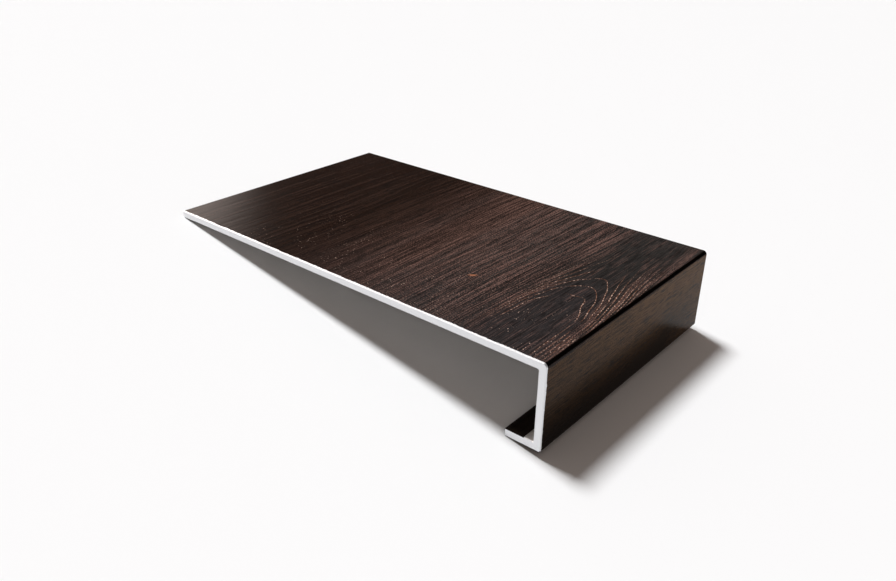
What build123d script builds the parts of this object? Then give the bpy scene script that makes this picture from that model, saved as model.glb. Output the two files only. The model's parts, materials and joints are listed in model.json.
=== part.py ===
from build123d import *

import os
from math import atan2, degrees

# Stair tread: one aluminium profile with a walking plate, a square nose and a lip that returns under it.
# The section is drawn in the tread's own axes: the nose face lies on x = 0, the plate runs back along -X,
# the lip's underside is z = 0, and the profile runs along Y between its two saw cuts.

# Driving dimensions, in millimetres
plate_depth = 300.0  # nose face to back edge, across the walking surface
tread_length = 180.0  # along the nose, from saw cut to saw cut
nose_height = 53.0  # lip underside to walking surface
lip_reach = 23.0  # nose face to the lip's free edge
wall = 5.0  # thickness of plate, nose and lip
nose_radius = 2.5  # outside corner between walking surface and nose
heel_radius = 1.2  # outside corner between nose and lip
root_radius = 0.8  # inside corners above and below the nose
edge_radius = 1.2  # corners of the plate's back edge and of the lip's free edge
cut_chamfer = 0.5  # burr taken off around both saw cuts


def section_outline():
    """The closed outline of the section, each corner with the radius it is rounded to."""
    corners = [
        ((0, nose_height), nose_radius),
        ((0, 0), heel_radius),
        ((-lip_reach, 0), edge_radius),
        ((-lip_reach, wall), edge_radius),
        ((-wall, wall), root_radius),
        ((-wall, nose_height - wall), root_radius),
        ((-plate_depth, nose_height - wall), edge_radius),
        ((-plate_depth, nose_height), edge_radius),
    ]
    points = [point for point, radius in corners]
    radii = [radius for point, radius in corners]
    return FilletPolyline(*points, radius=radii, close=True)


def profile():
    """The section drawn out along Y, with the burr taken off around both saw cuts."""
    section = Plane.XZ * make_face(section_outline())
    bar = extrude(section, amount=tread_length / 2, both=True)
    end_faces = bar.faces().sort_by(Axis.Y)
    return chamfer(end_faces[0].edges() + end_faces[-1].edges(), length=cut_chamfer)


def at_rest(tread):
    """The tread as it stands unheld: tipped back until the plate's back edge meets the floor.

    Its two resting corners have one radius, so the line between their centres gives the lean.
    """
    rise = nose_height - wall
    run = plate_depth - lip_reach
    leaning = Rot(Y=-degrees(atan2(rise, run))) * tread
    box = leaning.bounding_box()
    middle = box.center()
    return Pos(-middle.X, -middle.Y, -box.min.Z) * leaning


os.makedirs("parts", exist_ok=True)
export_step(at_rest(profile()), "parts/tread.step")
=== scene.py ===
import json
import math

import bpy
import numpy as np
from mathutils import Matrix, Quaternion, Vector
from mathutils.geometry import delaunay_2d_cdt


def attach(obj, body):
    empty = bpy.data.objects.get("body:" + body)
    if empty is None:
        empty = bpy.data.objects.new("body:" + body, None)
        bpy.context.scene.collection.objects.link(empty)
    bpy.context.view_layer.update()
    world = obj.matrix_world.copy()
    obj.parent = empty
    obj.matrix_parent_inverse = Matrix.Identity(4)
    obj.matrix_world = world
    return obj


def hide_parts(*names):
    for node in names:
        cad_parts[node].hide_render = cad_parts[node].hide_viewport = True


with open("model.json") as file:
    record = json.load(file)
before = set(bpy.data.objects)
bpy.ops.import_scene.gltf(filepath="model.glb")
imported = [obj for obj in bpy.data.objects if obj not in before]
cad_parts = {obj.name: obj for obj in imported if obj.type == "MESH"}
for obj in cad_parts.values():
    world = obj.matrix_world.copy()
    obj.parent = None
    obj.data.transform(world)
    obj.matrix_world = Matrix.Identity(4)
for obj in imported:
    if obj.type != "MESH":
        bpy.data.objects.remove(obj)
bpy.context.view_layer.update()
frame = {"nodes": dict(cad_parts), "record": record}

bl_info = {
    "name": "Wood-grain stair tread",
    "version": (1, 0, 0),
    "blender": (4, 5, 0),
    "location": "View3D > Sidebar > Stair tread",
    "description": "Dresses the aluminium stair tread in its wood-grain film and sets it on a studio floor",
    "category": "Object",
}

NODE = "tread"
BODY = "root"
MM = 0.001


def linear(hex_colour):
    """An sRGB hex colour as the linear red, green and blue that Blender mixes."""
    shares = [int(hex_colour[start:start + 2], 16) / 255 for start in (0, 2, 4)]
    return [share / 12.92 if share <= 0.04045 else ((share + 0.055) / 1.055) ** 2.4 for share in shares]


# Places and sizes read from the frame


def tread_axes():
    """The tread's own axes in the row frame, and its depth, length and height along them.

    The nose face is x = 0, the near saw cut y = 0 and the lip's underside z = 0. The plate's lean is
    read from the axis of the mount on its underside, which points straight away from the walking surface.
    """
    mounts = {mount["name"]: mount for mount in frame["record"]["mounts"]}
    down = mounts["plate_underside"]["axis"]
    lean = Matrix.Rotation(-math.atan2(down[0], -down[2]), 4, "Y")
    upright = lean.inverted()
    places = np.array([upright @ vertex.co for vertex in frame["nodes"][NODE].data.vertices])
    low, high = places.min(axis=0), places.max(axis=0)
    corner = Vector((high[0], low[1], low[2]))
    return lean @ Matrix.Translation(corner), (high - low)


TREAD_TO_ROW, TREAD_SIZE = tread_axes()
PLATE_DEPTH, TREAD_LENGTH, NOSE_HEIGHT = (float(size) for size in TREAD_SIZE)


# What a user would change


class TreadSizes(bpy.types.PropertyGroup):
    """Sizes of the profile's section and of the film that wraps it."""

    wall: bpy.props.FloatProperty(
        name="Wall", description="Thickness of plate, nose and lip", default=5.0 * MM, unit="LENGTH")
    lip_reach: bpy.props.FloatProperty(
        name="Lip reach", description="Nose face to the lip's free edge", default=23.0 * MM, unit="LENGTH")
    nose_radius: bpy.props.FloatProperty(
        name="Nose radius", description="Bend between walking surface and nose",
        default=2.5 * MM, unit="LENGTH")
    heel_radius: bpy.props.FloatProperty(
        name="Heel radius", description="Corner between nose and lip", default=1.2 * MM, unit="LENGTH")
    root_radius: bpy.props.FloatProperty(
        name="Root radius", description="Inside corners of the hook", default=0.8 * MM, unit="LENGTH")
    edge_radius: bpy.props.FloatProperty(
        name="Edge radius", description="Corners of the back edge and of the lip's free edge",
        default=1.2 * MM, unit="LENGTH")
    cut_chamfer: bpy.props.FloatProperty(
        name="Cut chamfer", description="Burr taken off around both saw cuts",
        default=0.5 * MM, unit="LENGTH")
    film_thickness: bpy.props.FloatProperty(
        name="Film thickness", description="Step where the film ends on bare metal",
        default=0.18 * MM, unit="LENGTH")
    film_lap: bpy.props.FloatProperty(
        name="Film lap", description="How far the film laps under the plate's back edge",
        default=12.0 * MM, unit="LENGTH")
    bare_strip: bpy.props.FloatProperty(
        name="Bare strip", description="Metal left bare on the lip, from the nose to the film's edge",
        default=5.7 * MM, unit="LENGTH")
    pore_depth: bpy.props.FloatProperty(
        name="Pore depth", description="Depth of the pores pressed into the film",
        default=0.02 * MM, unit="LENGTH")


class TreadColours(bpy.types.PropertyGroup):
    """Colours of the printed wood, of the shade, reflection and highlights painted into it, and of the metal
    under it.
    """

    ground: bpy.props.FloatVectorProperty(
        name="Ground", description="Dark grey between the grain lines", subtype="COLOR",
        default=linear("2E2C2B"))
    band: bpy.props.FloatVectorProperty(
        name="Band", description="Paler grey-brown bands along the grain", subtype="COLOR",
        default=linear("3D3937"))
    streak: bpy.props.FloatVectorProperty(
        name="Streak", description="Salmon grain lines", subtype="COLOR",
        default=linear("88665D"))
    # Also the colour of painted shade: on the nose towards the near cut, and on the nose and the lip towards
    # the heel.
    pore_and_shade: bpy.props.FloatVectorProperty(
        name="Pore", description="Nearly black pores and late wood", subtype="COLOR",
        default=linear("151211"))
    warm: bpy.props.FloatVectorProperty(
        name="Warm", description="Red-brown of the middle of the plate", subtype="COLOR",
        default=linear("42312A"))
    # Painted shade: a dark warm brown laid over the back half of the plate, so that the plate darkens away
    # from the nose.
    painted_back_shade: bpy.props.FloatVectorProperty(
        name="Deep", description="Dark warm brown of the back half", subtype="COLOR",
        default=linear("1D120C"))
    # Partly the print's brown and partly a painted reflection: the nose is printed lighter and warmer than
    # the top, standing in for the lit floor that it mirrors.
    nose: bpy.props.FloatVectorProperty(
        name="Nose", description="Warm brown of the nose under the bend", subtype="COLOR",
        default=linear("6E4E2B"))
    # Painted shade: the nearly black line along the bend over the nose stands in for shade, not for a darker
    # film.
    bend: bpy.props.FloatVectorProperty(
        name="Bend", description="Black line of the film stretched over the bend", subtype="COLOR",
        default=linear("060403"))
    # Also laid thinly over the top by the near cut as a painted sheen that greys it.
    heart: bpy.props.FloatVectorProperty(
        name="Heart", description="Greyer wood inside the arches", subtype="COLOR",
        default=linear("322E2F"))
    ring: bpy.props.FloatVectorProperty(
        name="Ring", description="Thin broken lines of the arches", subtype="COLOR",
        default=linear("A06A50"))
    # The pale dots on the arches are print; near the near cut the same colour makes painted highlights,
    # glints on the pores.
    fleck: bpy.props.FloatVectorProperty(
        name="Fleck", description="Pale flecks where a pore catches the light", subtype="COLOR",
        default=linear("F0CDBA"))
    metal: bpy.props.FloatVectorProperty(
        name="Metal", description="Bare aluminium", subtype="COLOR",
        default=linear("E9EAEC"))
    mill: bpy.props.FloatVectorProperty(
        name="Mill", description="Aluminium as it left the die, dulled by its oxide", subtype="COLOR",
        default=linear("D4D0CC"))
    floor: bpy.props.FloatVectorProperty(
        name="Floor", description="Pale studio floor", subtype="COLOR",
        default=linear("F3F5F7"))


class StageSettings(bpy.types.PropertyGroup):
    """The camera, placed in the tread's own axes so that it leans with the tread, and the key light."""

    camera_place: bpy.props.FloatVectorProperty(
        name="Camera place", description="From the near foot of the nose", subtype="TRANSLATION",
        default=(178.61 * MM, -292.39 * MM, 263.66 * MM))
    camera_aim: bpy.props.FloatVectorProperty(
        name="Camera aim", description="Point of the walking plate in the middle of the picture",
        subtype="TRANSLATION", default=(-86.27 * MM, 28.49 * MM, 53.03 * MM))
    camera_roll: bpy.props.FloatProperty(
        name="Camera roll", description="Turn about the line of sight", subtype="ANGLE",
        default=math.radians(1.073))
    lens: bpy.props.FloatProperty(
        name="Lens", description="Focal length on a 36 mm wide sensor", default=33.28, unit="CAMERA")
    key_height: bpy.props.FloatProperty(
        name="Key height", description="Height of the key light above the floor, from behind the plate",
        subtype="ANGLE", default=math.radians(56))
    key_width: bpy.props.FloatProperty(
        name="Key width", description="Width of the key light as the tread sees it", subtype="ANGLE",
        default=math.radians(12))
    key_strength: bpy.props.FloatProperty(
        name="Key strength", description="Light that the key throws on a face square to it", default=3.4)


# The surround: what lights the shade, the dark cards and the key's panel that gloss mirrors, the background
FILL_COLOUR, CARD_COLOUR = "7A706A", "14110F"
PANEL_COLOUR, BACKGROUND_COLOUR = "FFEFE7", "FBFAFA"
PANEL_STRENGTH = 4.9


# Small helpers


def soft_noise(across, along, across_size, along_size, seed):
    """Smooth random hills between -1 and 1, with one hill to each cell of the given size."""
    u = (across - across.min()) / across_size
    v = (along - along.min()) / along_size
    column, row = np.floor(u).astype(int), np.floor(v).astype(int)
    corners = np.random.default_rng(seed).uniform(-1, 1, (column.max() + 2, row.max() + 2))
    ease_u, ease_v = (share * share * (3 - 2 * share) for share in (u - column, v - row))
    near = corners[column, row] * (1 - ease_u) + corners[column + 1, row] * ease_u
    far = corners[column, row + 1] * (1 - ease_u) + corners[column + 1, row + 1] * ease_u
    return near * (1 - ease_v) + far * ease_v


def add_node(tree, kind, inputs=None, **settings):
    """Adds a node with its settings and its inputs, each a value or a socket to link."""
    node = tree.nodes.new(kind)
    for name, value in settings.items():
        setattr(node, name, value)
    for name, value in (inputs or {}).items():
        if isinstance(value, bpy.types.NodeSocket):
            tree.links.new(value, node.inputs[name])
        else:
            node.inputs[name].default_value = value
    return node


def new_material(name):
    """An empty node material, its tree and its shader."""
    material = bpy.data.materials.new(name)
    material.use_nodes = True
    return material, material.node_tree, material.node_tree.nodes["Principled BSDF"]


# The section


def straight_run(start, end, spacing):
    """Points from start to end, about spacing apart, and the outward side of each."""
    way = end - start
    reach = np.hypot(*way)
    shares = np.linspace(0, 1, max(1, math.ceil(reach / spacing - 1e-6)) + 1)[:, None]
    side = np.array([-way[1], way[0]]) / reach
    return start + shares * way, np.repeat(side[None], len(shares), axis=0)


def rounded_run(corners, spacing, bend_steps):
    """A run of straight stretches with quarter-round corners, going clockwise seen from the near cut.

    corners holds (place, radius). Returns the points and the outward side of each.
    """
    places = [np.array(place) for place, radius in corners]
    radii = [radius for place, radius in corners]
    ways = [(end - start) / np.hypot(*(end - start)) for start, end in zip(places, places[1:])]
    quarter = np.linspace(0, math.pi / 2, bend_steps + 1)[1:-1, None]
    points, sides = [], []
    for index, way in enumerate(ways):
        start = places[index] + radii[index] * way
        end = places[index + 1] - radii[index + 1] * way
        stretch, stretch_sides = straight_run(start, end, spacing)
        points.append(stretch)
        sides.append(stretch_sides)
        if index + 1 < len(ways):
            radius, onward = radii[index + 1], ways[index + 1]
            turn = np.cos(quarter) * stretch_sides[:1] + np.sin(quarter) * [[-onward[1], onward[0]]]
            outward = 1 if way[0] * onward[1] - way[1] * onward[0] < 0 else -1
            centre = places[index + 1] - radius * way + radius * onward
            points.append(centre + outward * radius * turn)
            sides.append(turn)
    return np.concatenate(points), np.concatenate(sides)


def film_run(sizes, spacing):
    """The filmed side: from the lap under the back edge, over plate and nose, round the lip to its strip."""
    under = NOSE_HEIGHT - sizes.wall
    return rounded_run([
        ((-PLATE_DEPTH + sizes.film_lap, under), 0),
        ((-PLATE_DEPTH, under), sizes.edge_radius),
        ((-PLATE_DEPTH, NOSE_HEIGHT), sizes.edge_radius),
        ((0, NOSE_HEIGHT), sizes.nose_radius),
        ((0, 0), sizes.heel_radius),
        ((-sizes.lip_reach, 0), sizes.edge_radius),
        ((-sizes.lip_reach, sizes.wall), sizes.edge_radius),
        ((-sizes.wall - sizes.bare_strip, sizes.wall), 0),
    ], spacing, bend_steps=10)


def bare_run(sizes, spacing):
    """The bare side, a film's depth lower: the strip on the lip, the nose's back, the plate's underside."""
    inner = -sizes.wall + sizes.film_thickness
    low, high = sizes.wall - sizes.film_thickness, NOSE_HEIGHT - sizes.wall + sizes.film_thickness
    return rounded_run([
        ((-sizes.wall - sizes.bare_strip, low), 0),
        ((inner, low), sizes.root_radius),
        ((inner, high), sizes.root_radius),
        ((-PLATE_DEPTH + sizes.film_lap, high), 0),
    ], spacing, bend_steps=6)


# The printed figure, in mm: where its heart lies, and how the arches fall off before and behind it, by the
# square and by the fourth power of the way from the heart

HEART_FROM_NOSE, HEART_LENGTH, ARCHES_LENGTH = 26, 45, 100
BEND_BEFORE, BEND_BEHIND = 0.12, 0.05
STEEPEN_BEFORE, STEEPEN_BEHIND = 3e-5, 8e-5
# The stretch over which the lines turn into arches, and how they steepen again past the arches
TURN, SLOWED_TURN, SLOWED_RISE = 7, 4, 0.57
# How far the lines stray, in long waves and short ones, and how crooked the arches are by the heart
LONG_STRAY, SHORT_STRAY, CROOKED = 2.2, 0.7, 3.0
# A spindle of closed lines in the back half: its middle, half its width and length, and the rings it adds
SPINDLE_FROM_NOSE, SPINDLE_FROM_CUT, SPINDLE_WIDTH, SPINDLE_LENGTH, SPINDLE_RINGS = 217, 88, 13, 42, 5
# The arches' light lines: height from one to the next, and how far the first is moved
ARCH_STEP, ARCH_SHIFT = 12.5, 3.0


def wood_figure(from_nose, from_cut):
    """The figure at points of the film, all in mm.

    The print is a board sawn past its heart. Its rings run straight along the tread and close in round
    arches over the heart, which lies by the near cut. Returns grain (ring, along, across the fibres) and
    arch (height, rise, ring rise). An arch's height is where its top lies along the tread, and the two
    rises say how much height and ring change in one millimetre.
    """
    wander = LONG_STRAY * soft_noise(from_nose, from_cut, 46, 150, seed=3)
    wander += SHORT_STRAY * soft_noise(from_nose, from_cut, 13, 55, seed=4)
    across = from_nose - HEART_FROM_NOSE + wander
    bend = np.where(across < 0, BEND_BEFORE, BEND_BEHIND)
    steepen = np.where(across < 0, STEEPEN_BEFORE, STEEPEN_BEHIND)
    past_heart = (from_cut - HEART_LENGTH) / TURN
    past_arches = (from_cut - ARCHES_LENGTH) / TURN
    by_heart = np.exp(-(across / 32) ** 2 - ((from_cut - 50) / 60) ** 2)
    crooked = CROOKED * soft_noise(from_nose, from_cut, 8, 12, seed=5) * by_heart
    top = HEART_LENGTH + TURN * np.logaddexp(0, past_heart) - SLOWED_TURN * np.logaddexp(0, past_arches)
    top_rise = 1 / (1 + np.exp(-past_heart)) - SLOWED_RISE / (1 + np.exp(-past_arches))
    height = top + bend * across ** 2 + steepen * across ** 4 + crooked
    rise = np.hypot(2 * bend * across + 4 * steepen * across ** 3, top_rise)
    spindle_across = (from_nose - SPINDLE_FROM_NOSE) / SPINDLE_WIDTH
    spindle_along = (from_cut - SPINDLE_FROM_CUT) / SPINDLE_LENGTH
    spindle = SPINDLE_RINGS * np.exp(-spindle_across ** 2 - spindle_along ** 2)
    # The ring is how far behind the heart a line of this height would run, were there no arches
    root = np.sqrt(BEND_BEHIND ** 2 + 4 * STEEPEN_BEHIND * height)
    ring = np.sqrt((root - BEND_BEHIND) / (2 * STEEPEN_BEHIND))
    ring_rise = rise / (2 * BEND_BEHIND * ring + 4 * STEEPEN_BEHIND * ring ** 3)
    grain = np.stack([ring + spindle, from_cut, across], axis=2)
    arch = np.stack([height, rise, ring_rise], axis=2)
    return grain, arch


def pressed_pores(across, from_cut):
    """Depth of the pores pressed into the film, from 0 to 1: short grooves that follow the fibres."""
    fine = soft_noise(across, from_cut, 1.5, 17, seed=11)
    broad = soft_noise(across, from_cut, 4.2, 60, seed=12)
    return np.clip((fine + 0.6 * broad - 0.15) / 0.75, 0, 1)


# The tread's mesh, in mm: spacing of its points, its plain rows along the tread, and the film's edge at a
# cut, which lies back by a share of a wave and of the blade's bites, between a least and a most

FILM_SPACING, BARE_SPACING = 0.6, 9.0
PLAIN_ROWS, ROWS_FROM_CUT = 88, 3
EDGE_BACK, EDGE_WAVE, EDGE_BITE, BITE_FROM, EDGE_LEAST, EDGE_MOST = 0.28, 0.2, 0.6, 0.25, 0.08, 1
WRAPPED_EDGE_BACK = 0.1
SHARP_ANGLE = math.radians(30)


def film_edge(travelled, end):
    """How far the film's edge lies back from a saw cut, in mm: a slow wave, and small bites of the blade."""
    flat = np.full(len(travelled), float(end))
    wave = soft_noise(travelled, flat, 8.0, 1, seed=20 + end)
    bites = soft_noise(travelled, flat, 1.3, 1, seed=30 + end)
    bitten = EDGE_BITE * np.clip(bites - BITE_FROM, 0, 1)
    return np.clip(EDGE_BACK + EDGE_WAVE * wave + bitten, EDGE_LEAST, EDGE_MOST)


def cut_face(outline):
    """Triangles that fill a section's outline, none of them flat where its points lie in line."""
    inside_only, merge_distance = 1, 1e-9
    corners = [Vector(place) for place in outline]
    filled = delaunay_2d_cdt(corners, [], [list(range(len(corners)))], inside_only, merge_distance)
    triangles, first_corners = filled[2], filled[3]
    return [[first_corners[corner][0] for corner in triangle] for triangle in triangles]


def tread_mesh(sizes):
    """The profile as rings of the section along its length, closed by its two saw cuts."""
    film_points, film_sides = film_run(sizes, spacing=FILM_SPACING * MM)
    bare_points, bare_sides = bare_run(sizes, spacing=BARE_SPACING * MM)
    points = np.concatenate([film_points, bare_points])
    sides = np.concatenate([film_sides, bare_sides])
    around, filmed = len(points), len(film_points)
    on_film = np.arange(around) < filmed

    steps = np.hypot(*np.diff(film_points, axis=0).T)
    travelled = np.concatenate([[0], np.cumsum(steps)]) / MM
    bend = np.argmax(film_points[:, 0] > -0.3 * sizes.nose_radius)
    heel = np.argmax((film_points[:, 1] < sizes.heel_radius) & (np.arange(filmed) > bend))
    from_nose = np.zeros(around)
    from_nose[:filmed] = travelled[bend] - travelled

    # Rings from the near cut to the far one: cut face, chamfer, film edge, plain rows, and the same again
    setback = np.full((2, around), WRAPPED_EDGE_BACK * MM)
    for end in range(2):
        setback[end, :heel] = film_edge(travelled[:heel], end) * MM
    near_chamfer = np.full(around, sizes.cut_chamfer)
    rows = np.linspace(ROWS_FROM_CUT * MM, TREAD_LENGTH - ROWS_FROM_CUT * MM, PLAIN_ROWS)
    lengthwise = np.vstack([
        np.zeros(around), near_chamfer, near_chamfer + setback[0],
        np.repeat(rows[:, None], around, axis=1),
        TREAD_LENGTH - near_chamfer - setback[1], TREAD_LENGTH - near_chamfer, np.full(around, TREAD_LENGTH),
    ])
    rings = len(lengthwise)

    inset = np.zeros((rings, around))
    inset[[0, -1]] = sizes.cut_chamfer
    from_cut = lengthwise / MM
    nose_way = np.broadcast_to(from_nose, from_cut.shape)
    grain, arch = wood_figure(nose_way, from_cut)
    pores = pressed_pores(grain[:, :, 2], from_cut)
    inset[2:-2] += (sizes.pore_depth * pores * on_film)[2:-2]
    section = points[None] - inset[:, :, None] * sides[None]
    places = np.stack([section[:, :, 0], lengthwise, section[:, :, 1]], axis=2).reshape(-1, 3)

    film, extruded, sawn = range(3)
    faces, finishes = [], []
    for ring in range(rings - 1):
        at_cut = ring < 2 or ring > rings - 3
        for index in range(around):
            onward = (index + 1) % around
            here, there = ring * around, (ring + 1) * around
            faces.append((here + index, here + onward, there + onward, there + index))
            bare = filmed <= index and onward > 0
            wrapped = heel <= index < filmed
            finishes.append(sawn if at_cut and not wrapped else extruded if bare else film)
    last_ring = (rings - 1) * around
    for first, second, third in cut_face(section[0]):
        faces += [(first, second, third), (last_ring + third, last_ring + second, last_ring + first)]
        finishes += [sawn, sawn]

    mesh = bpy.data.meshes.new("tread_profile")
    mesh.from_pydata([TREAD_TO_ROW @ Vector(place) for place in places], [], faces)
    mesh.polygons.foreach_set("material_index", finishes)
    mesh.polygons.foreach_set("use_smooth", [True] * len(faces))
    mesh.set_sharp_from_angle(angle=SHARP_ANGLE)
    for name, values in (("grain_mm", grain), ("arch_mm", arch), ("place_mm", places / MM)):
        attribute = mesh.attributes.new(name, "FLOAT_VECTOR", "POINT")
        attribute.data.foreach_set("vector", values.astype(np.float32).ravel())
    if mesh.validate():
        raise RuntimeError("the tread's mesh had faces that Blender had to mend")
    return mesh


# Materials


def wood_grain_film(colours):
    """Printed PVC film, pressed with pores: a dark satin wood whose grain lines run along the tread."""
    # Besides the print, the colour holds painted shade, a painted reflection on the nose and painted
    # highlights; the inks say where.
    material, tree, shader = new_material("wood_grain_film_embossed_pvc")
    grain = add_node(tree, "ShaderNodeAttribute", attribute_name="grain_mm").outputs["Vector"]
    place = add_node(tree, "ShaderNodeAttribute", attribute_name="place_mm").outputs["Vector"]
    arch = add_node(tree, "ShaderNodeAttribute", attribute_name="arch_mm").outputs["Vector"]
    along_across = add_node(tree, "ShaderNodeSeparateXYZ", {"Vector": grain}).outputs
    from_cut, across = along_across["Y"], along_across["Z"]
    arch_parts = add_node(tree, "ShaderNodeSeparateXYZ", {"Vector": arch}).outputs
    height, rise, ring_rise = (arch_parts[axis] for axis in "XYZ")

    # Random hills of the print, one to so many mm across the rings, along the tread and across the fibres,
    # and their fineness. Real pores are 0.2 mm wide; pores and beads are drawn about three times as wide, so
    # that they show.
    hills = {}
    for name, per_mm, detail in (
        ("bands", (1 / 11, 1 / 300, 0), 1.0),
        ("stripes", (1 / 2.8, 1 / 160, 0), 1.0),
        ("streaks", (1 / 0.8, 1 / 110, 0), 2.0),
        ("fibres", (0, 1 / 30, 1 / 0.6), 2.0),
        ("pores", (0, 1 / 9, 1 / 0.6), 0.5),
        ("beads", (0, 1 / 0.9, 1 / 0.7), 0.0),
        ("dots", (0, 1 / 1.2, 1 / 1.1), 0.0),
        ("sparks", (0, 1 / 0.95, 1 / 0.85), 0.0),
        ("patches", (0, 1 / 26, 1 / 15), 2.0),
    ):
        scaled = add_node(tree, "ShaderNodeVectorMath", {0: grain, 1: per_mm}, operation="MULTIPLY")
        hills[name] = add_node(tree, "ShaderNodeTexNoise", {
            "Vector": scaled.outputs["Vector"], "Scale": 1.0, "Detail": detail, "Roughness": 0.6,
        }).outputs["Fac"]

    # Arches: thin lines, one for every step of height, which fade out where the rings run straight
    from_line = add_node(tree, "ShaderNodeMath", {0: height, 1: ARCH_SHIFT}, operation="ADD").outputs["Value"]
    from_line = add_node(tree, "ShaderNodeMath", {0: from_line, 1: ARCH_STEP / 2},
                         operation="PINGPONG").outputs["Value"]
    from_line = add_node(tree, "ShaderNodeMath", {0: from_line, 1: rise}, operation="DIVIDE").outputs["Value"]
    low_arch, on_flank = (
        add_node(tree, "ShaderNodeMapRange", {"Value": pattern, "From Min": starts, "From Max": full},
                 interpolation_type="SMOOTHSTEP").outputs["Result"]
        for pattern, starts, full in ((height, 112.0, 102.0), (rise, 1.1, 1.9)))
    arches = add_node(tree, "ShaderNodeMath", {0: low_arch, 1: on_flank},
                      operation="MAXIMUM").outputs["Value"]
    for pattern, starts, full in (
        (hills["patches"], 0.36, 0.50), (from_line, 0.34, 0.12), (height, 66.0, 70.0), (rise, 9.0, 6.5),
        (from_cut, 145.0, 70.0), (from_cut, -15.0, 45.0), (across, 36.0, 8.0),
    ):
        within = add_node(tree, "ShaderNodeMapRange",
                          {"Value": pattern, "From Min": starts, "From Max": full},
                          interpolation_type="SMOOTHSTEP").outputs["Result"]
        arches = add_node(tree, "ShaderNodeMath", {0: arches, 1: within},
                          operation="MULTIPLY").outputs["Value"]

    # Painted shade along the bend over the nose, drawn as a nearly black line: first the distance from the
    # bend
    section = add_node(tree, "ShaderNodeVectorMath", {0: place, 1: (1, 0, 1)}, operation="MULTIPLY")
    bend_inset = 0.7
    bend_place = (-bend_inset, 0, NOSE_HEIGHT / MM - bend_inset)
    off_bend = add_node(tree, "ShaderNodeVectorMath", {0: section.outputs["Vector"], 1: bend_place},
                        operation="DISTANCE").outputs["Value"]

    # Masks: pattern, where it starts and is full, and the least it lets through. Streaks are strings of
    # beads, and thin out on the arches, where the board's face lies along the rings.
    masks = {}
    for name, pattern, starts, full, least in (
        ("near_cut", from_cut, 90.0, 15.0, 0.0),
        ("clusters", hills["patches"], 0.46, 0.60, 0.0),
        ("on_top", across, -26.0, -20.0, 0.0),
        ("off_back", across, 225.0, 195.0, 0.0),
        ("on_nose", across, -27.0, -30.0, 0.0),
        ("at_back", across, 90.0, 150.0, 0.0),
        # The next mask thins the painted shade at the heel towards the far end
        ("heel_shade_far_fade", from_cut, 178.0, 135.0, 0.3),
        ("beaded", hills["beads"], 0.38, 0.60, 0.1),
        ("steep", ring_rise, 0.2, 0.6, 0.0),
    ):
        masks[name] = add_node(tree, "ShaderNodeMapRange", {
            "Value": pattern, "From Min": starts, "From Max": full, "To Min": least}).outputs["Result"]
    for name, first, *others in (
        # The next mask places the painted highlights: near the near cut, in clusters, on the top, short of
        # the back
        ("glint_spots", "near_cut", "clusters", "on_top", "off_back"),
        ("streaked", "steep", "beaded"),
    ):
        both = masks[first]
        for other in others:
            both = add_node(tree, "ShaderNodeMath", {0: both, 1: masks[other]},
                            operation="MULTIPLY").outputs["Value"]
        masks[name] = both
    # One slanted dash, 6 mm long, in the middle of the plate
    mark = add_node(tree, "ShaderNodeMapping", {
        "Vector": grain, "Location": (0, 53.5, 61.0), "Rotation": (math.radians(-53), 0, 0),
        "Scale": (1000, 3.4, 1.3)}, vector_type="TEXTURE")
    mark = add_node(tree, "ShaderNodeVectorMath", {0: mark.outputs["Vector"]}, operation="LENGTH")
    mark = add_node(tree, "ShaderNodeMapRange",
                    {"Value": mark.outputs["Value"], "From Min": 1.0, "From Max": 0.6})
    masks["mark"] = mark.outputs["Result"]

    # Inks from the first to the last: colour, pattern, where it starts and is full, strength, second mask
    inks = (
        (colours.band, across, 18.0, 62.0, 0.85, None),
        (colours.warm, across, 62.0, 110.0, 0.9, None),
        (colours.band, hills["bands"], 0.46, 0.62, 0.5, None),
        (colours.streak, hills["streaks"], 0.515, 0.58, 0.82, masks["streaked"]),
        (colours.pore_and_shade, hills["streaks"], 0.48, 0.40, 0.7, masks["steep"]),
        (colours.pore_and_shade, hills["stripes"], 0.50, 0.36, 0.35, masks["steep"]),
        (colours.streak, hills["beads"], 0.58, 0.72, 0.5, masks["steep"]),
        (colours.heart, height, 112.0, 74.0, 0.65, None),
        # Painted sheen: the top greyer towards the near cut
        (colours.heart, from_cut, 70.0, 0.0, 0.35, masks["on_top"]),
        (colours.streak, hills["fibres"], 0.44, 0.34, 0.3, None),
        # Painted shade: the back half of the plate darker
        (colours.painted_back_shade, across, 86.0, 182.0, 0.92, None),
        (colours.warm, hills["stripes"], 0.48, 0.64, 0.28, masks["at_back"]),
        # Partly print, partly a painted reflection: the nose lighter and warmer than the top
        (colours.nose, across, -27.0, -30.0, 0.8, None),
        # Painted shade: the nose darker towards the near cut
        (colours.pore_and_shade, from_cut, 130.0, 0.0, 0.45, masks["on_nose"]),
        (colours.pore_and_shade, hills["fibres"], 0.52, 0.62, 0.65, None),
        (colours.pore_and_shade, hills["pores"], 0.56, 0.66, 0.6, None),
        (colours.pore_and_shade, hills["pores"], 0.54, 0.64, 0.2, masks["on_nose"]),
        (colours.pore_and_shade, hills["beads"], 0.42, 0.30, 0.55, None),
        # Painted shade: the nose darker towards the heel, the lip dark all round, less so at the far end
        (colours.pore_and_shade, across, -34.0, -74.0, 0.94, masks["heel_shade_far_fade"]),
        (colours.ring, hills["beads"], 0.35, 0.50, 0.5, arches),
        (colours.fleck, hills["dots"], 0.56, 0.68, 0.85, arches),
        (colours.ring, hills["beads"], 0.30, 0.50, 0.95, masks["mark"]),
        # Painted highlights: pale glints on the pores near the near cut
        (colours.fleck, hills["sparks"], 0.775, 0.81, 1.0, masks["glint_spots"]),
        # Painted shade: the nearly black line along the bend
        (colours.bend, off_bend, 1.8, 0.8, 1.0, None),
    )
    printed = (*colours.ground, 1)
    for ink, pattern, starts, full, strength, second in inks:
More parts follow.
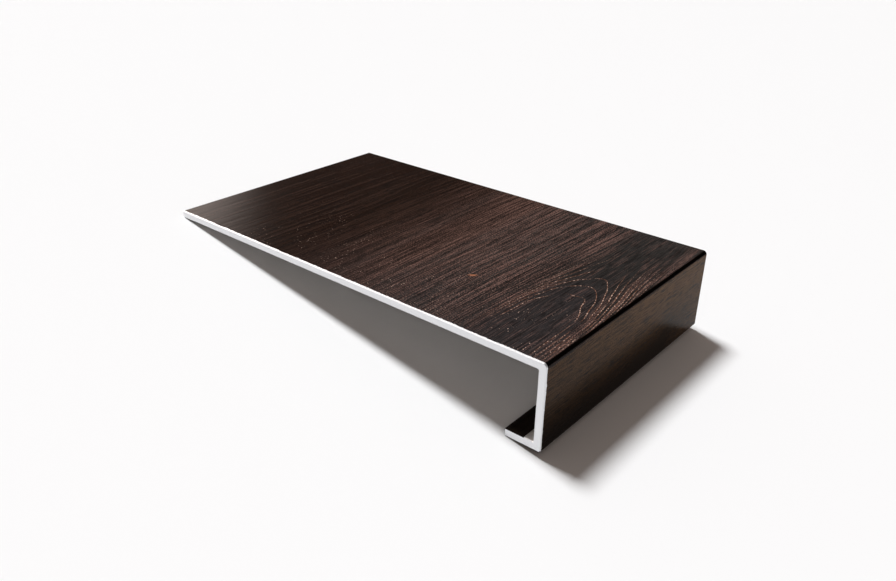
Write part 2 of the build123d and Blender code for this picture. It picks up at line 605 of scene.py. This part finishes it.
        cover = add_node(tree, "ShaderNodeMapRange",
                         {"Value": pattern, "From Min": starts, "From Max": full, "To Max": strength},
                         interpolation_type="SMOOTHSTEP").outputs["Result"]
        if second:
            cover = add_node(tree, "ShaderNodeMath", {0: cover, 1: second},
                             operation="MULTIPLY").outputs["Value"]
        printed = add_node(tree, "ShaderNodeMix", {"Factor": cover, "A": printed, "B": (*ink, 1)},
                           data_type="RGBA").outputs["Result"]
    tree.links.new(printed, shader.inputs["Base Color"])

    # Satin on the ridges, duller in the pores
    gloss = add_node(tree, "ShaderNodeMapRange", {
        "Value": hills["fibres"], "From Min": 0.3, "From Max": 0.7, "To Min": 0.14, "To Max": 0.20})
    tree.links.new(gloss.outputs["Result"], shader.inputs["Roughness"])
    relief = add_node(tree, "ShaderNodeMath", {0: hills["fibres"], 1: hills["pores"]}, operation="ADD")
    bump = add_node(tree, "ShaderNodeBump",
                    {"Height": relief.outputs["Value"], "Strength": 0.12, "Distance": 0.05 * MM}, invert=True)
    tree.links.new(bump.outputs["Normal"], shader.inputs["Normal"])
    shader.inputs["IOR"].default_value = 1.53
    shader.inputs["Specular IOR Level"].default_value = 0.024
    shader.inputs["Specular Tint"].default_value = (*linear("E0C3AE"), 1)
    return material


def extruded_aluminium(colours):
    """Mill-finish extruded aluminium: satin metal with fine die lines along the tread."""
    material, tree, shader = new_material("extruded_aluminium_mill_finish")
    place = add_node(tree, "ShaderNodeAttribute", attribute_name="place_mm").outputs["Vector"]
    # Die lines are a few hundredths of a millimetre apart; drawn 0.8 mm apart so that they show
    scaled = add_node(tree, "ShaderNodeVectorMath", {0: place, 1: (1 / 0.8, 1 / 260, 1 / 0.8)},
                      operation="MULTIPLY").outputs["Vector"]
    lines = add_node(tree, "ShaderNodeTexNoise",
                     {"Vector": scaled, "Scale": 1.0, "Detail": 3.0}).outputs["Fac"]
    gloss = add_node(tree, "ShaderNodeMapRange",
                     {"Value": lines, "From Min": 0.3, "From Max": 0.7, "To Min": 0.36, "To Max": 0.52})
    tree.links.new(gloss.outputs["Result"], shader.inputs["Roughness"])
    bump = add_node(tree, "ShaderNodeBump", {"Height": lines, "Strength": 0.25, "Distance": 0.05 * MM})
    tree.links.new(bump.outputs["Normal"], shader.inputs["Normal"])
    shader.inputs["Base Color"].default_value = (*colours.mill, 1)
    shader.inputs["Metallic"].default_value = 1.0
    return material


def sawn_aluminium(colours):
    """Saw-cut aluminium: bright, nearly matt metal with the blade's shallow arcs."""
    material, tree, shader = new_material("sawn_aluminium_cut_end")
    place = add_node(tree, "ShaderNodeAttribute", attribute_name="place_mm").outputs["Vector"]
    # The blade's teeth leave arcs about its axle, 0.7 mm apart where the feed was slow
    blade = add_node(tree, "ShaderNodeVectorMath", {0: place, 1: (-120.0, 90.0, -130.0)},
                     operation="DISTANCE").outputs["Value"]
    arcs = add_node(tree, "ShaderNodeTexNoise", {"W": blade, "Scale": 1 / 0.7, "Detail": 2.0},
                    noise_dimensions="1D").outputs["Fac"]
    gloss = add_node(tree, "ShaderNodeMapRange",
                     {"Value": arcs, "From Min": 0.3, "From Max": 0.7, "To Min": 0.45, "To Max": 0.58})
    tree.links.new(gloss.outputs["Result"], shader.inputs["Roughness"])
    bump = add_node(tree, "ShaderNodeBump", {"Height": arcs, "Strength": 0.2, "Distance": 0.05 * MM})
    tree.links.new(bump.outputs["Normal"], shader.inputs["Normal"])
    shader.inputs["Base Color"].default_value = (*colours.metal, 1)
    shader.inputs["Metallic"].default_value = 1.0
    return material


def studio_floor(colours):
    """Matt painted floor: pale and even, so that only the tread's shadow shows on it."""
    material, tree, shader = new_material("studio_floor_matt_paint")
    shader.inputs["Base Color"].default_value = (*colours.floor, 1)
    shader.inputs["Roughness"].default_value = 0.9
    shader.inputs["Specular IOR Level"].default_value = 0.1
    return material


# Operators


class MakeTread(bpy.types.Operator):
    """Make the tread profile with its film, its bare faces and its saw cuts"""

    bl_idname = "stair_tread.make_tread"
    bl_label = "Make tread"

    def execute(self, context):
        sizes, colours = context.scene.tread_sizes, context.scene.tread_colours
        mesh = tread_mesh(sizes)
        for material in (wood_grain_film(colours), extruded_aluminium(colours), sawn_aluminium(colours)):
            mesh.materials.append(material)
        tread = bpy.data.objects.new("tread_profile", mesh)
        context.scene.collection.objects.link(tread)
        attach(tread, BODY)
        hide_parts(NODE)
        return {"FINISHED"}


class MakeStage(bpy.types.Operator):
    """Make the floor, the lights and the camera"""

    bl_idname = "stair_tread.make_stage"
    bl_label = "Make stage"

    def execute(self, context):
        scene, settings = context.scene, context.scene.tread_stage
        floor_mesh = bpy.data.meshes.new("studio_floor")
        reach = 30.0
        corners = [(-reach, -reach, 0), (reach, -reach, 0), (reach, reach, 0), (-reach, reach, 0)]
        floor_mesh.from_pydata(corners, [], [(0, 1, 2, 3)])
        floor_mesh.materials.append(studio_floor(scene.tread_colours))
        floor = bpy.data.objects.new("studio_floor", floor_mesh)
        scene.collection.objects.link(floor)

        key = bpy.data.lights.new("key_sun", "SUN")
        key.energy = settings.key_strength
        key.angle = settings.key_width
        key_lamp = bpy.data.objects.new("key_sun", key)
        to_key = Vector((-math.cos(settings.key_height), 0, math.sin(settings.key_height)))
        key_lamp.rotation_mode = "QUATERNION"
        key_lamp.rotation_quaternion = to_key.to_track_quat("Z", "Y")
        scene.collection.objects.link(key_lamp)

        world = bpy.data.worlds.new("studio_surround")
        world.use_nodes = True
        tree = world.node_tree
        where = add_node(tree, "ShaderNodeTexCoord")
        towards = add_node(tree, "ShaderNodeSeparateXYZ", {"Vector": where.outputs["Generated"]})
        ray = add_node(tree, "ShaderNodeLightPath").outputs
        # Gloss sees the pale background along the horizon only, dark cards above it, and a panel by the key
        horizon = add_node(tree, "ShaderNodeMapRange",
                           {"Value": towards.outputs["Z"], "From Min": 0.05, "From Max": 0.02},
                           interpolation_type="SMOOTHSTEP")
        panel = add_node(tree, "ShaderNodeMapRange",
                         {"Value": towards.outputs["X"], "From Min": -0.795, "From Max": -0.845},
                         interpolation_type="SMOOTHSTEP")
        seen = add_node(tree, "ShaderNodeMath", {0: ray["Is Glossy Ray"], 1: ray["Is Transmission Ray"]},
                        operation="ADD")
        pale = add_node(tree, "ShaderNodeMath", {
            0: seen.outputs["Value"], 1: horizon.outputs["Result"], 2: ray["Is Camera Ray"]},
            operation="MULTIPLY_ADD", use_clamp=True)
        beside = add_node(tree, "ShaderNodeMath", {
            0: ray["Is Glossy Ray"], 1: panel.outputs["Result"]}, operation="MULTIPLY").outputs["Value"]
        glow = (*linear(FILL_COLOUR), 1)
        panel_glow = [PANEL_STRENGTH * share for share in linear(PANEL_COLOUR)]
        for share, colour in ((ray["Is Glossy Ray"], linear(CARD_COLOUR)), (beside, panel_glow),
                              (pale.outputs["Value"], linear(BACKGROUND_COLOUR))):
            glow = add_node(tree, "ShaderNodeMix", {"Factor": share, "A": glow, "B": (*colour, 1)},
                            data_type="RGBA").outputs["Result"]
        tree.links.new(glow, tree.nodes["Background"].inputs["Color"])
        scene.world = world

        lens = bpy.data.cameras.new("photo_view")
        lens.lens = settings.lens
        lens.clip_start, lens.clip_end = 0.01, 100.0
        camera = bpy.data.objects.new("photo_view", lens)
        place, aim = Vector(settings.camera_place), Vector(settings.camera_aim)
        turn = (aim - place).to_track_quat("-Z", "Y") @ Quaternion((0, 0, 1), settings.camera_roll)
        camera.matrix_world = TREAD_TO_ROW @ Matrix.Translation(place) @ turn.to_matrix().to_4x4()
        scene.collection.objects.link(camera)
        scene.camera = camera
        scene.view_settings.view_transform = "Standard"
        return {"FINISHED"}


class StairTreadPanel(bpy.types.Panel):
    """Sizes, colours and steps of the stair tread"""

    bl_idname = "VIEW3D_PT_stair_tread"
    bl_label = "Stair tread"
    bl_space_type = "VIEW_3D"
    bl_region_type = "UI"
    bl_category = "Stair tread"

    def draw(self, context):
        for group in (context.scene.tread_sizes, context.scene.tread_colours, context.scene.tread_stage):
            box = self.layout.box()
            for name in group.__annotations__:
                box.prop(group, name)
        for operator in (MakeTread, MakeStage):
            self.layout.operator(operator.bl_idname)


CLASSES = (TreadSizes, TreadColours, StageSettings, MakeTread, MakeStage, StairTreadPanel)


def register():
    for entry in CLASSES:
        bpy.utils.register_class(entry)
    bpy.types.Scene.tread_sizes = bpy.props.PointerProperty(type=TreadSizes)
    bpy.types.Scene.tread_colours = bpy.props.PointerProperty(type=TreadColours)
    bpy.types.Scene.tread_stage = bpy.props.PointerProperty(type=StageSettings)


def unregister():
    del bpy.types.Scene.tread_sizes
    del bpy.types.Scene.tread_colours
    del bpy.types.Scene.tread_stage
    for entry in reversed(CLASSES):
        bpy.utils.unregister_class(entry)


def main():
    register()
    bpy.ops.stair_tread.make_tread()
    bpy.ops.stair_tread.make_stage()


if __name__ == "__main__":
    main()
